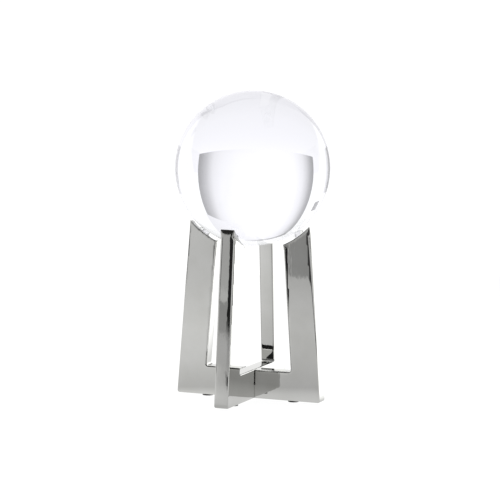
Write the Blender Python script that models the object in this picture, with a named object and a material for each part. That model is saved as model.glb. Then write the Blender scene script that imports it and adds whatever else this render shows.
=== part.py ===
"""Crystal ball resting in a stand of two crossed U-shaped metal plates.

Metres, +Z up. The origin is on the floor, under the middle of the stand, and
+Z runs up the axis of the stand and the ball. The lower plate lies along X and
the upper plate along Y. They cross in a halving joint that one screw closes.
"""

import math

import bmesh
import bpy
from mathutils import Matrix, Vector

MM = 0.001
GAP = 0.3 * MM              # clearance between solids that touch

# Driving dimensions
BALL_RADIUS = 50 * MM
TOTAL_HEIGHT = 200 * MM
FOOTPRINT = 100 * MM        # outside width of each plate at the floor
BAR_HEIGHT = 19 * MM        # height of the cross bars
LEG_WIDTH = 19 * MM         # width of a leg across its parallel edges
PLATE_THICKNESS = 9.5 * MM
LEG_LEAN = math.radians(4.3)
CRADLE_RADIUS = 57 * MM     # hollow cut in the leg ends
CRADLE_RISE = 4.2 * MM      # its centre above the middle of the ball
OUTER_CORNER = 1.6 * MM
INNER_CORNER = 1.4 * MM
TIP_CORNER = 0.5 * MM
EDGE_ROUND = 0.6 * MM

# Foot pads under the bars and clear bumpers in the leg ends
FOOT_HEIGHT = 1.0 * MM      # floor to the underside of the plates
FOOT_RADIUS = 3.5 * MM
FOOT_EDGE = 0.175 * MM      # chamfer of a pad
FOOT_REACH = 30 * MM        # from the axis of the stand
BUMPER_RADIUS = 3.6 * MM
BUMPER_SHOULDER = 0.45      # straight share of a bumper's height

# Centre screw, driven from below
SCREW_RADIUS = 1.5 * MM
SCREW_HEAD_RADIUS = 2.9 * MM
SCREW_LENGTH = 15 * MM
SCREW_TIP_CHAMFER = 0.5 * MM
SOCKET_RADIUS = 1.15 * MM
SOCKET_DEPTH = 1.0 * MM

# Mesh fineness
CORNER_STEPS = 4
CRADLE_STEPS = 12
ROUND_SIDES = 24
BALL_SIDES = 48
DOME_STEPS = 5
EDGE_SEGMENTS = 2
BISECTION_STEPS = 50
SMOOTH_ANGLE = math.radians(35)

BALL_Z = TOTAL_HEIGHT - BALL_RADIUS
PLATE_Z = FOOT_HEIGHT
CRADLE_Z = BALL_Z + CRADLE_RISE
HALF_FOOTPRINT = FOOTPRINT / 2
HALF_THICKNESS = PLATE_THICKNESS / 2
BAR_TOP = PLATE_Z + BAR_HEIGHT
LAP_Z = PLATE_Z + BAR_HEIGHT / 2
LAP_GAP = GAP / 2


def clear_scene():
    for obj in list(bpy.data.objects):
        bpy.data.objects.remove(obj, do_unlink=True)


def make_material(name, rgb, roughness, metallic, transmission=0.0):
    material = bpy.data.materials.new(name)
    material.use_nodes = True
    shader = material.node_tree.nodes["Principled BSDF"]
    shader.inputs["Base Color"].default_value = (*rgb, 1.0)
    shader.inputs["Roughness"].default_value = roughness
    shader.inputs["Metallic"].default_value = metallic
    shader.inputs["Transmission Weight"].default_value = transmission
    material.diffuse_color = (*rgb, 1.0)
    return material


def add_object(name, bm, material):
    """Turn a bmesh into a named object with one material."""
    mesh = bpy.data.meshes.new(name)
    bm.to_mesh(mesh)
    bm.free()
    obj = bpy.data.objects.new(name, mesh)
    bpy.context.collection.objects.link(obj)
    if material:
        mesh.materials.append(material)
    return obj


def smooth_round_faces(obj):
    obj.data.shade_smooth()
    obj.data.set_sharp_from_angle(angle=SMOOTH_ANGLE)


def leg_outer_x(z):
    """Outer edge of a leg at height z."""
    return HALF_FOOTPRINT - (z - PLATE_Z) * math.tan(LEG_LEAN)


def leg_inner_x(z):
    """Inner edge of a leg at height z."""
    return leg_outer_x(z) - LEG_WIDTH / math.cos(LEG_LEAN)


def cradle_angle(edge_x):
    """Angle from straight down, about the cradle's centre, where a leg edge meets the hollow."""
    low, high = 0.0, math.pi / 2
    for _ in range(BISECTION_STEPS):
        middle = (low + high) / 2
        x = CRADLE_RADIUS * math.sin(middle)
        z = CRADLE_Z - CRADLE_RADIUS * math.cos(middle)
        if x < edge_x(z):
            low = middle
        else:
            high = middle
    return low


def cradle_point(angle):
    return Vector((CRADLE_RADIUS * math.sin(angle), CRADLE_Z - CRADLE_RADIUS * math.cos(angle)))


def rounded_outline(corners):
    """Replace each corner (point, radius) by a tangent arc; radius 0 keeps the point."""
    outline = []
    for i, (point, radius) in enumerate(corners):
        if radius == 0:
            outline.append(point)
            continue
        before = (corners[i - 1][0] - point).normalized()
        after = (corners[(i + 1) % len(corners)][0] - point).normalized()
        half = before.angle(after) / 2
        centre = point + (before + after).normalized() * radius / math.sin(half)
        start = point + before * radius / math.tan(half) - centre
        end = point + after * radius / math.tan(half) - centre
        sweep = start.angle_signed(end)
        for step in range(CORNER_STEPS + 1):
            turn = Matrix.Rotation(-sweep * step / CORNER_STEPS, 2)
            outline.append(centre + turn @ start)
    return outline


def plate_outline(is_lower):
    """Outline of a plate in its own plane, as (across, up) points."""
    outer_angle = cradle_angle(leg_outer_x)
    inner_angle = cradle_angle(leg_inner_x)
    right = [(Vector((HALF_FOOTPRINT, PLATE_Z)), OUTER_CORNER), (cradle_point(outer_angle), TIP_CORNER)]
    # the first stretch is long enough for the rounding of the tip
    for step in range(1, CRADLE_STEPS):
        angle = outer_angle + (inner_angle - outer_angle) * step / CRADLE_STEPS
        right.append((cradle_point(angle), 0))
    right.append((cradle_point(inner_angle), TIP_CORNER))
    right.append((Vector((leg_inner_x(BAR_TOP), BAR_TOP)), INNER_CORNER))
    left = [(Vector((-point.x, point.y)), radius) for point, radius in reversed(right)]
    slot = HALF_THICKNESS + GAP
    if is_lower:
        notch = [(slot, BAR_TOP), (slot, LAP_Z - LAP_GAP), (-slot, LAP_Z - LAP_GAP), (-slot, BAR_TOP)]
        corners = right + [(Vector(point), 0) for point in notch] + left
    else:
        notch = [(-slot, PLATE_Z), (-slot, LAP_Z + LAP_GAP), (slot, LAP_Z + LAP_GAP), (slot, PLATE_Z)]
        corners = right + left + [(Vector(point), 0) for point in notch]
    return rounded_outline(corners)


def mark_rounded_edges(bm):
    """Weight the rims of both flat faces for the bevel, but keep the slot's edges sharp."""
    weight = bm.edges.layers.float.new("bevel_weight_edge")
    slot = HALF_THICKNESS + GAP + LAP_GAP
    for edge in bm.edges:
        start, end = (vert.co for vert in edge.verts)
        in_slot = abs(start.x) < slot and abs(end.x) < slot
        on_rim = abs(start.y - end.y) < GAP
        edge[weight] = 1.0 if on_rim and not in_slot else 0.0


def build_plate(name, is_lower, material):
    bm = bmesh.new()
    verts = [bm.verts.new((p.x, -HALF_THICKNESS, p.y)) for p in plate_outline(is_lower)]
    front = bm.faces.new(verts)
    result = bmesh.ops.extrude_face_region(bm, geom=[front])
    moved = [item for item in result["geom"] if isinstance(item, bmesh.types.BMVert)]
    bmesh.ops.translate(bm, verts=moved, vec=(0, PLATE_THICKNESS, 0))
    bmesh.ops.recalc_face_normals(bm, faces=bm.faces)
    mark_rounded_edges(bm)
    plate = add_object(name, bm, material)
    if not is_lower:
        plate.rotation_euler.z = math.radians(90)
    smooth_round_faces(plate)
    bevel = plate.modifiers.new("edge_round", "BEVEL")
    bevel.width = EDGE_ROUND
    bevel.segments = EDGE_SEGMENTS
    bevel.limit_method = "WEIGHT"
    return plate


def turned_solid(name, profile, material, sides=ROUND_SIDES):
    """Revolve (radius, height) points about Z; both ends lie on the axis."""
    bm = bmesh.new()
    rings = []
    for radius, z in profile:
        if radius == 0:
            rings.append([bm.verts.new((0, 0, z))])
            continue
        angles = [2 * math.pi * side / sides for side in range(sides)]
        rings.append([bm.verts.new((radius * math.cos(a), radius * math.sin(a), z)) for a in angles])
    for lower, upper in zip(rings, rings[1:]):
        for side in range(sides):
            after = (side + 1) % sides
            if len(lower) == 1:
                bm.faces.new((lower[0], upper[after], upper[side]))
            elif len(upper) == 1:
                bm.faces.new((lower[side], lower[after], upper[0]))
            else:
                bm.faces.new((lower[side], lower[after], upper[after], upper[side]))
    bmesh.ops.recalc_face_normals(bm, faces=bm.faces)
    return add_object(name, bm, material)


def cut(target, cutter):
    """Cut one hidden solid out of another."""
    cutter.hide_render = True
    cutter.display_type = "WIRE"
    boolean = target.modifiers.new(cutter.name, "BOOLEAN")
    boolean.operation = "DIFFERENCE"
    boolean.solver = "EXACT"
    boolean.object = cutter


def screw_profile(extra=0.0):
    """Countersunk screw from the head up; extra swells it into its clearance hole."""
    head_z = PLATE_Z + GAP - extra
    neck_z = PLATE_Z + GAP + (SCREW_HEAD_RADIUS - SCREW_RADIUS)
    tip_z = PLATE_Z + GAP + SCREW_LENGTH + extra
    return [
        (0, head_z),
        (SCREW_HEAD_RADIUS + 2 * extra, head_z),
        (SCREW_RADIUS + extra, neck_z + extra),
        (SCREW_RADIUS + extra, tip_z - SCREW_TIP_CHAMFER),
        (SCREW_RADIUS - SCREW_TIP_CHAMFER + extra, tip_z),
        (0, tip_z),
    ]


def build_screw(material):
    screw = turned_solid("centre_screw", screw_profile(), material)
    bm = bmesh.new()
    depth = SOCKET_DEPTH + GAP
    bmesh.ops.create_cone(bm, cap_ends=True, segments=6, radius1=SOCKET_RADIUS,
                          radius2=SOCKET_RADIUS, depth=2 * depth)
    bmesh.ops.translate(bm, verts=bm.verts, vec=(0, 0, PLATE_Z + GAP))
    cut(screw, add_object("socket_cutter", bm, None))
    smooth_round_faces(screw)
    return screw


def build_screw_holes(plates):
    cutter = turned_solid("screw_cutter", screw_profile(extra=GAP), None)
    for plate in plates:
        cut(plate, cutter)


def build_foot_pads(material):
    """Thin pads between the floor and the undersides of the bars."""
    height = FOOT_HEIGHT - GAP
    profile = [(0, 0), (FOOT_RADIUS - FOOT_EDGE, 0), (FOOT_RADIUS, FOOT_EDGE),
               (FOOT_RADIUS, height - FOOT_EDGE), (FOOT_RADIUS - FOOT_EDGE, height), (0, height)]
    places = {"left": (-1, 0), "right": (1, 0), "front": (0, -1), "back": (0, 1)}
    for side, (x, y) in places.items():
        pad = turned_solid(f"foot_pad_{side}", profile, material)
        pad.location = (x * FOOT_REACH, y * FOOT_REACH, 0)
        smooth_round_faces(pad)


def build_bumpers(material):
    """Clear domed bumpers in the hollows of the leg ends; the ball sits on them."""
    angle = (cradle_angle(leg_outer_x) + cradle_angle(leg_inner_x)) / 2
    seat = cradle_point(angle)
    inward = Vector((-math.sin(angle), math.cos(angle)))
    to_ball = Vector((0, BALL_Z)) - seat
    along = to_ball.dot(inward)
    aside = math.sqrt(to_ball.length_squared - along ** 2)
    room = along - math.sqrt(BALL_RADIUS ** 2 - aside ** 2)
    top = room - GAP
    shoulder = GAP + (top - GAP) * BUMPER_SHOULDER
    profile = [(0, GAP), (BUMPER_RADIUS, GAP), (BUMPER_RADIUS, shoulder)]
    for step in range(1, DOME_STEPS + 1):
        turn = math.pi / 2 * step / DOME_STEPS
        dome = (BUMPER_RADIUS * math.cos(turn), shoulder + (top - shoulder) * math.sin(turn))
        profile.append(dome if step < DOME_STEPS else (0, top))
    for side, heading in {"right": 0, "back": 90, "left": 180, "front": 270}.items():
        bumper = turned_solid(f"ball_bumper_{side}", profile, material)
        turn = Matrix.Rotation(math.radians(heading), 4, "Z")
        place = Matrix.Translation((seat.x, 0, seat.y)) @ Matrix.Rotation(-angle, 4, "Y")
        bumper.matrix_world = turn @ place
        smooth_round_faces(bumper)


def build_ball(material):
    bm = bmesh.new()
    bmesh.ops.create_uvsphere(bm, u_segments=BALL_SIDES, v_segments=BALL_SIDES // 2, radius=BALL_RADIUS)
    ball = add_object("crystal_ball", bm, material)
    ball.location.z = BALL_Z
    ball.data.shade_smooth()


def main():
    clear_scene()
    nickel = make_material("polished_nickel", (0.62, 0.62, 0.60), 0.04, 1.0)
    crystal = make_material("clear_crystal", (0.95, 0.96, 0.97), 0.0, 0.0, transmission=1.0)
    silicone = make_material("clear_silicone", (0.9, 0.9, 0.9), 0.2, 0.0, transmission=0.8)
    rubber = make_material("black_rubber", (0.02, 0.02, 0.02), 0.7, 0.0)
    steel = make_material("screw_steel", (0.5, 0.5, 0.5), 0.35, 1.0)
    lower = build_plate("lower_cross_plate", True, nickel)
    upper = build_plate("upper_cross_plate", False, nickel)
    build_screw_holes((lower, upper))
    build_screw(steel)
    build_foot_pads(rubber)
    build_bumpers(silicone)
    build_ball(crystal)


main()
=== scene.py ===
"""Looks of a clear crystal ball that rests in a polished stand of two crossed plates.

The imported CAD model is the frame: every size that it holds is read from it, and
every piece made here rides on one of its bodies. Metres, +Z up.
"""

from __future__ import annotations

import logging
import math
from dataclasses import dataclass, field
from enum import Enum
from typing import Any, Callable, Iterable, Optional, Sequence, Union

import bmesh
import bpy
import numpy as np
from mathutils import Matrix, Vector
from mathutils.geometry import delaunay_2d_cdt


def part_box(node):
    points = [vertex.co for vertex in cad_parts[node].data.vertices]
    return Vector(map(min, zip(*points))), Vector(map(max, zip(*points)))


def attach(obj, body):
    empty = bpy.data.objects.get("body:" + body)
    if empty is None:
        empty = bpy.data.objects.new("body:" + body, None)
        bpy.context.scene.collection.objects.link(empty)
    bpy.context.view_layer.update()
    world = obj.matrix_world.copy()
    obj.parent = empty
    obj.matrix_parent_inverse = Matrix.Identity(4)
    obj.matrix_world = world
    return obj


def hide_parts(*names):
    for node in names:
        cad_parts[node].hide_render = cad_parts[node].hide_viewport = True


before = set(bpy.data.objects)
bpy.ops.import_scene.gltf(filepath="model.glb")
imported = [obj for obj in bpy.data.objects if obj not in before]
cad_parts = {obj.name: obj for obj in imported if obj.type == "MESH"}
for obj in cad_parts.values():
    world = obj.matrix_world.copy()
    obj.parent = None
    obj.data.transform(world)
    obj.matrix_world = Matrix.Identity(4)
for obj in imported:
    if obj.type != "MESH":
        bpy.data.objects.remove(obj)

log = logging.getLogger("crystal_ball")

MM = 0.001
BISECTION_STEPS = 50

Outline = list[tuple[Vector, float]]
Rgb = tuple[float, float, float]
Curve = tuple[tuple[float, float], ...]
Value = Any                            # a plain value, a socket, or a node, which gives its first output
Inputs = Union[dict[Any, Value], Sequence[Value]]


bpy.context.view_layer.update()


# ---------------------------------------------------------------- node helpers


def linear(hex_colour: str) -> Rgb:
    """Turn an sRGB hex colour into linear red, green and blue.

    Args:
        hex_colour: Six hex digits, with or without a leading hash.

    Returns:
        The three linear channels.
    """
    digits = hex_colour.lstrip("#")
    channels = [int(digits[i:i + 2], 16) / 255 for i in (0, 2, 4)]
    red, green, blue = (c / 12.92 if c <= 0.04045 else ((c + 0.055) / 1.055) ** 2.4 for c in channels)
    return red, green, blue


def add_node(tree: bpy.types.NodeTree, kind: str, inputs: Inputs = (), **settings: Any) -> bpy.types.Node:
    """Add one node with its settings, its input values and the links into it.

    Args:
        tree: The tree that gets the node.
        kind: Blender's type name of the node.
        inputs: What goes in, by input name or number, or in the order of the node's inputs.
            Sockets and nodes are linked, and anything else is set.
        **settings: Properties of the node itself.

    Returns:
        The new node.
    """
    node = tree.nodes.new(kind)
    for name, value in settings.items():
        setattr(node, name, value)
    for key, value in inputs.items() if isinstance(inputs, dict) else enumerate(inputs):
        source = value.outputs[0] if isinstance(value, bpy.types.Node) else value
        if isinstance(source, bpy.types.NodeSocket):
            tree.links.new(source, node.inputs[key])
        else:
            node.inputs[key].default_value = source
    return node


def new_material(name: str) -> tuple[bpy.types.Material, bpy.types.NodeTree]:
    """Make a material with an empty node tree.

    Args:
        name: The finish it is named for.

    Returns:
        The material and its tree.
    """
    material = bpy.data.materials.new(name)
    material.use_nodes = True
    material.node_tree.nodes.clear()
    return material, material.node_tree


def surface_noise(
    tree: bpy.types.NodeTree, grain: Sequence[float], detail: float = 2.0, shift: float = 0.0
) -> bpy.types.NodeSocket:
    """Noise on the object's own coordinates, sized in metres.

    Args:
        tree: The material's tree.
        grain: Size of the pattern along X, Y and Z, in metres.
        detail: Octaves of finer noise.
        shift: Shift of the pattern, in grains, so that two layers differ.

    Returns:
        The factor output, around 0.5.
    """
    place = add_node(tree, "ShaderNodeTexCoord").outputs["Object"]
    scaled = add_node(
        tree,
        "ShaderNodeMapping",
        {"Vector": place, "Scale": [1 / size for size in grain], "Location": (shift, 0, shift)},
    )
    noise = add_node(tree, "ShaderNodeTexNoise", {"Vector": scaled, "Scale": 1.0, "Detail": detail})
    return noise.outputs["Fac"]


def mottled(
    tree: bpy.types.NodeTree, noise: Value, rise: tuple[float, float], low: str, high: str
) -> bpy.types.NodeSocket:
    """Colour that goes from one hex colour to another as a noise rises.

    Args:
        tree: The material's tree.
        noise: The noise.
        rise: Where in the noise the change begins and ends.
        low: Colour below it.
        high: Colour above it.

    Returns:
        The colour output.
    """
    share = add_node(tree, "ShaderNodeMapRange", (noise, *rise, 0, 1))
    colours = {6: (*linear(low), 1), 7: (*linear(high), 1)}
    return add_node(tree, "ShaderNodeMix", {0: share, **colours}, data_type="RGBA").outputs[2]


def read_curve(tree: bpy.types.NodeTree, place: Value, points: Curve) -> bpy.types.Node:
    """Read a curve of straight stretches, level beyond its ends.

    Args:
        tree: The tree.
        place: Where the curve is read.
        points: The curve's (place, result) points.

    Returns:
        The node that gives the result.
    """
    first, last, peak = points[0][0], points[-1][0], max(y for _, y in points)
    share = add_node(tree, "ShaderNodeMapRange", (place, first, last, 0, 1))
    curve = add_node(tree, "ShaderNodeFloatCurve", {"Value": share})
    knots = curve.mapping.curves[0].points
    places = [((x - first) / (last - first), y / peak) for x, y in points]
    knots[0].location, knots[1].location = places[0], places[-1]
    for inner_place in places[1:-1]:
        knots.new(*inner_place)
    for knot in knots:
        knot.handle_type = "VECTOR"
    curve.mapping.update()
    return add_node(tree, "ShaderNodeMath", (curve, peak), operation="MULTIPLY")


def finish_shader(tree: bpy.types.NodeTree, inputs: dict[str, Value]) -> None:
    """Add the Principled shader and the output."""
    shader = add_node(tree, "ShaderNodeBsdfPrincipled", inputs)
    add_node(tree, "ShaderNodeOutputMaterial", {"Surface": shader})


# -------------------------------------------------------------------- finishes


@dataclass(frozen=True)
class PolishedNickel:
    """Nickel plate, buffed to a mirror.

    It gives the eye a warm grey mirror with crisp reflections, which the
    vertical strokes of the buff make slightly ragged where light meets dark.
    """

    plate: str = "#C1C1BF"
    shaded_plate: str = "#BABAB7"
    cloud_size: float = 26 * MM
    stroke_width: float = 1.3 * MM
    stroke_length: float = 5.5 * MM
    stroke_depth: float = 0.009 * MM
    wave_size: float = 14 * MM
    wave_depth: float = 0.004 * MM
    roughness: tuple[float, float] = (0.015, 0.05)

    def material(self) -> bpy.types.Material:
        """Build the node tree of the plate.

        Returns:
            The material.
        """
        material, tree = new_material("polished_nickel_plate")
        cloud = surface_noise(tree, [self.cloud_size] * 3, 3.0)
        strokes = surface_noise(tree, [self.stroke_width, self.stroke_width, self.stroke_length], 1.0)
        waves = surface_noise(tree, [self.wave_size] * 3, 0.0, shift=200)
        wavy = add_node(
            tree, "ShaderNodeBump", {"Height": waves, "Distance": self.wave_depth, "Strength": 1.0}
        )
        buffed = add_node(
            tree,
            "ShaderNodeBump",
            {"Height": strokes, "Distance": self.stroke_depth, "Strength": 1.0, "Normal": wavy},
        )
        finish_shader(
            tree,
            {
                "Metallic": 1.0,
                "Base Color": mottled(tree, cloud, (0.35, 0.65), self.shaded_plate, self.plate),
                "Roughness": add_node(tree, "ShaderNodeMapRange", (cloud, 0.3, 0.7, *self.roughness)),
                "Normal": buffed,
            },
        )
        return material


@dataclass(frozen=True)
class OpticalCrystal:
    """Clear optical crystal, ground and polished to a true sphere.

    It gives the eye a lens: the room upside down inside it, a bright body and a
    fine grey rim. Faint wipe marks are left in the polish.
    """

    tint: str = "#FBFCFE"
    ior: float = 1.517
    wipe_size: tuple[float, float, float] = (18 * MM, 18 * MM, 6 * MM)
    roughness: tuple[float, float] = (0.0, 0.0035)     # so low that its mirror rays stay perfectly sharp

    def material(self) -> bpy.types.Material:
        """Build the node tree of the crystal.

        Returns:
            The material.
        """
        material, tree = new_material("polished_optical_crystal")
        wipes = surface_noise(tree, self.wipe_size, 2.0, shift=400)
        finish_shader(
            tree,
            {
                "Base Color": (*linear(self.tint), 1),
                "Transmission Weight": 1.0,
                "IOR": self.ior,
                "Roughness": add_node(tree, "ShaderNodeMapRange", (wipes, 0.58, 0.75, *self.roughness)),
            },
        )
        return material


@dataclass(frozen=True)
class ClearSilicone:
    """Clear cast silicone, as in stick-on bumpers: soft gloss and a slightly milky body."""

    tint: str = "#F4F5F5"
    ior: float = 1.41
    clearness: float = 0.97
    skin_size: float = 0.8 * MM
    skin_depth: float = 0.002 * MM
    roughness: tuple[float, float] = (0.03, 0.1)

    def material(self) -> bpy.types.Material:
        """Build the node tree of the silicone.

        Returns:
            The material.
        """
        material, tree = new_material("clear_cast_silicone")
        skin = surface_noise(tree, [self.skin_size] * 3, 2.0)
        relief = {"Height": skin, "Distance": self.skin_depth, "Strength": 1.0}
        finish_shader(
            tree,
            {
                "Base Color": (*linear(self.tint), 1),
                "Transmission Weight": self.clearness,
                "IOR": self.ior,
                "Roughness": add_node(tree, "ShaderNodeMapRange", (skin, 0.3, 0.7, *self.roughness)),
                "Normal": add_node(tree, "ShaderNodeBump", relief),
            },
        )
        return material


@dataclass(frozen=True)
class BlackRubber:
    """Die-cut black rubber sheet: matt, with a fine grain that greys where it is worn."""

    rubber: str = "#171716"
    worn: str = "#2B2A28"
    ior: float = 1.52
    grain_size: float = 0.35 * MM
    grain_depth: float = 0.03 * MM
    wear_size: float = 4 * MM
    roughness: tuple[float, float] = (0.6, 0.85)

    def material(self) -> bpy.types.Material:
        """Build the node tree of the rubber.

        Returns:
            The material.
        """
        material, tree = new_material("die_cut_black_rubber")
        grain = surface_noise(tree, [self.grain_size] * 3, 3.0)
        wear = surface_noise(tree, [self.wear_size] * 3, 2.0, shift=100)
        relief = {"Height": grain, "Distance": self.grain_depth, "Strength": 1.0}
        finish_shader(
            tree,
            {
                "IOR": self.ior,
                "Base Color": mottled(tree, wear, (0.45, 0.65), self.rubber, self.worn),
                "Roughness": add_node(tree, "ShaderNodeMapRange", (grain, 0.3, 0.7, *self.roughness)),
                "Normal": add_node(tree, "ShaderNodeBump", relief),
            },
        )
        return material


@dataclass(frozen=True)
class TurnedSteel:
    """Zinc-plated steel, turned and rolled: a satin grey with a faint mottle."""

    steel: str = "#B9BBBD"
    mottle: str = "#A3A5A8"
    mottle_size: float = 0.9 * MM
    roughness: tuple[float, float] = (0.22, 0.4)

    def material(self) -> bpy.types.Material:
        """Build the node tree of the steel.

        Returns:
            The material.
        """
        material, tree = new_material("turned_zinc_plated_steel")
        mottle = surface_noise(tree, [self.mottle_size] * 3, 3.0)
        finish_shader(
            tree,
            {
                "Metallic": 1.0,
                "Base Color": mottled(tree, mottle, (0.35, 0.65), self.steel, self.mottle),
                "Roughness": add_node(tree, "ShaderNodeMapRange", (mottle, 0.3, 0.7, *self.roughness)),
            },
        )
        return material


# --------------------------------------------------------------- mesh helpers


def new_object(name: str, mesh: bpy.types.Mesh) -> bpy.types.Object:
    """Link a mesh into the scene as an object at the origin.

    Args:
        name: The object's name.
        mesh: Its mesh.

    Returns:
        The object.
    """
    piece = bpy.data.objects.new(name, mesh)
    bpy.context.scene.collection.objects.link(piece)
    return piece


def turned_mesh(name: str, profile: Sequence[tuple[float, float]], sides: int) -> bpy.types.Mesh:
    """Revolve a profile about Z into one closed mesh.

    Args:
        name: Name of the mesh.
        profile: (radius, height) points; the first and the last lie on the axis.
        sides: Steps round the axis.

    Returns:
        The mesh, smooth where it is round.
    """
    bm = bmesh.new()
    verts = [bm.verts.new((radius, 0, z)) for radius, z in profile]
    edges = [bm.edges.new(pair) for pair in zip(verts, verts[1:])]
    bmesh.ops.spin(
        bm, geom=verts + edges, cent=(0, 0, 0), axis=(0, 0, 1), angle=math.tau, steps=sides, use_merge=True
    )
    bmesh.ops.remove_doubles(bm, verts=bm.verts, dist=0.001 * MM)
    bmesh.ops.recalc_face_normals(bm, faces=bm.faces)
    mesh = bpy.data.meshes.new(name)
    bm.to_mesh(mesh)
    bm.free()
    smooth(mesh)
    return mesh


def smooth(mesh: bpy.types.Mesh, crease: float = 38.0) -> None:
    """Shade a mesh smooth, with a crease where faces meet at more than an angle in degrees."""
    mesh.shade_smooth()
    mesh.set_sharp_from_angle(angle=math.radians(crease))


def settle(piece: bpy.types.Object) -> bpy.types.Object:
    """Turn a piece with modifiers into a plain mesh at the origin.

    Args:
        piece: The object; its modifiers are applied and removed.

    Returns:
        The same object with its evaluated mesh.
    """
    depsgraph = bpy.context.evaluated_depsgraph_get()
    evaluated = piece.evaluated_get(depsgraph)
    mesh = bpy.data.meshes.new_from_object(evaluated, preserve_all_data_layers=True, depsgraph=depsgraph)
    mesh.name = piece.name
    piece.modifiers.clear()
    piece.data = mesh
    return piece


def geometry_tree(name: str, inputs: dict[str, tuple[str, Any]]) -> tuple[bpy.types.NodeTree, bpy.types.Node]:
    """Start a Geometry Nodes tree with named inputs and one geometry output.

    Args:
        name: Name of the tree.
        inputs: Input name, and its socket type and default value.

    Returns:
        The tree and its group input node.
    """
    tree = bpy.data.node_groups.new(name, "GeometryNodeTree")
    for label, (kind, default) in inputs.items():
        socket = tree.interface.new_socket(label, in_out="INPUT", socket_type=kind)
        if default is not None:
            socket.default_value = default
    tree.interface.new_socket("Geometry", in_out="OUTPUT", socket_type="NodeSocketGeometry")
    return tree, tree.nodes.new("NodeGroupInput")


def grow(name: str, tree: bpy.types.NodeTree, values: dict[str, Any]) -> bpy.types.Object:
    """Evaluate a Geometry Nodes tree into a plain mesh object.

    Args:
        name: Name of the piece.
        tree: The tree.
        values: Input name and its value.

    Returns:
        The piece, without its modifier.
    """
    piece = new_object(name, bpy.data.meshes.new(name))
    modifier = piece.modifiers.new(name, "NODES")
    modifier.node_group = tree
    for item in tree.interface.items_tree:
        if item.item_type == "SOCKET" and item.in_out == "INPUT" and item.name in values:
            modifier[item.identifier] = values[item.name]
    return settle(piece)


def four_around(name: str, mesh: bpy.types.Mesh, material: bpy.types.Material) -> bpy.types.Object:
    """Repeat a mesh four times round the axis of the stand, with Geometry Nodes.

    Args:
        name: Name of the finished piece.
        mesh: The mesh of the copy on the +X side.
        material: Its finish.

    Returns:
        One plain mesh that holds the four copies.
    """
    pattern = new_object(f"{name}_pattern", mesh)
    tree, given = geometry_tree(
        f"{name}_around",
        {
            "Pattern": ("NodeSocketObject", None),
            "Count": ("NodeSocketInt", 4),
            "Finish": ("NodeSocketMaterial", None),
        },
    )
    source = add_node(tree, "GeometryNodeObjectInfo", {"Object": given.outputs["Pattern"]})
    points = add_node(
        tree, "GeometryNodeMeshLine", {"Offset": (0, 0, 0), "Count": given.outputs["Count"]}
    )
    index = add_node(tree, "GeometryNodeInputIndex")
    share = add_node(tree, "ShaderNodeMath", (index, given.outputs["Count"]), operation="DIVIDE")
    turn = add_node(tree, "ShaderNodeMath", (share, math.tau), operation="MULTIPLY")
    heading = add_node(tree, "ShaderNodeCombineXYZ", {"Z": turn})
    copies = add_node(
        tree,
        "GeometryNodeInstanceOnPoints",
        {"Points": points, "Instance": source.outputs["Geometry"], "Rotation": heading},
    )
    real = add_node(tree, "GeometryNodeRealizeInstances", (copies,))
    dressed = add_node(
        tree, "GeometryNodeSetMaterial", {"Geometry": real, "Material": given.outputs["Finish"]}
    )
    add_node(tree, "NodeGroupOutput", (dressed,))
    piece = grow(name, tree, {"Pattern": pattern, "Count": 4, "Finish": material})
    bpy.data.objects.remove(pattern)
    return piece


def install(piece: bpy.types.Object, body: str, nodes: Iterable[str]) -> bpy.types.Object:
    """Hang a finished piece on its body and let it stand for its CAD nodes.

    Args:
        piece: The finished piece.
        body: The body that it moves with.
        nodes: The CAD nodes that it replaces.

    Returns:
        The piece.
    """
    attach(piece, body)
    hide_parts(*nodes)
    log.info("%s: %d faces, rides on %s", piece.name, len(piece.data.polygons), body)
    return piece


# ------------------------------------------------------------------ the pieces


@dataclass
class CrystalBall:
    """The solid ball, a true sphere."""

    finish: OpticalCrystal = field(default_factory=OpticalCrystal)
    subdivisions: int = 7
    node: str = "crystal_ball"

    def build(self) -> bpy.types.Object:
        """Grow the sphere from its radius and height with Geometry Nodes.

        Returns:
            The finished piece.
        """
        low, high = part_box(self.node)
        tree, given = geometry_tree(
            "true_sphere",
            {
                "Radius": ("NodeSocketFloat", 0.05),
                "Height": ("NodeSocketVector", (0, 0, 0)),
                "Subdivisions": ("NodeSocketInt", 5),
                "Finish": ("NodeSocketMaterial", None),
            },
        )
        sphere = add_node(
            tree,
            "GeometryNodeMeshIcoSphere",
            {"Radius": given.outputs["Radius"], "Subdivisions": given.outputs["Subdivisions"]},
        )
        lifted = add_node(
            tree,
            "GeometryNodeTransform",
            {"Geometry": sphere, "Translation": given.outputs["Height"]},
        )
        polished = add_node(tree, "GeometryNodeSetShadeSmooth", (lifted,))
        dressed = add_node(
            tree, "GeometryNodeSetMaterial", {"Geometry": polished, "Material": given.outputs["Finish"]}
        )
        add_node(tree, "NodeGroupOutput", (dressed,))
        piece = grow(
            "polished_crystal_ball",
            tree,
            {
                "Radius": (high.x - low.x) / 2,
                "Height": (low + high) / 2,
                "Subdivisions": self.subdivisions,
                "Finish": self.finish.material(),
            },
        )
        return install(piece, "ball", [self.node])


class Run(Enum):
    """Which way a plate runs, as its turn about Z in degrees."""

    LEFT_TO_RIGHT = 0.0
    FRONT_TO_BACK = 90.0


class Slot(Enum):
    """Where a plate's half of the halving joint opens."""

    ABOVE = "above"
    BELOW = "below"


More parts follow.
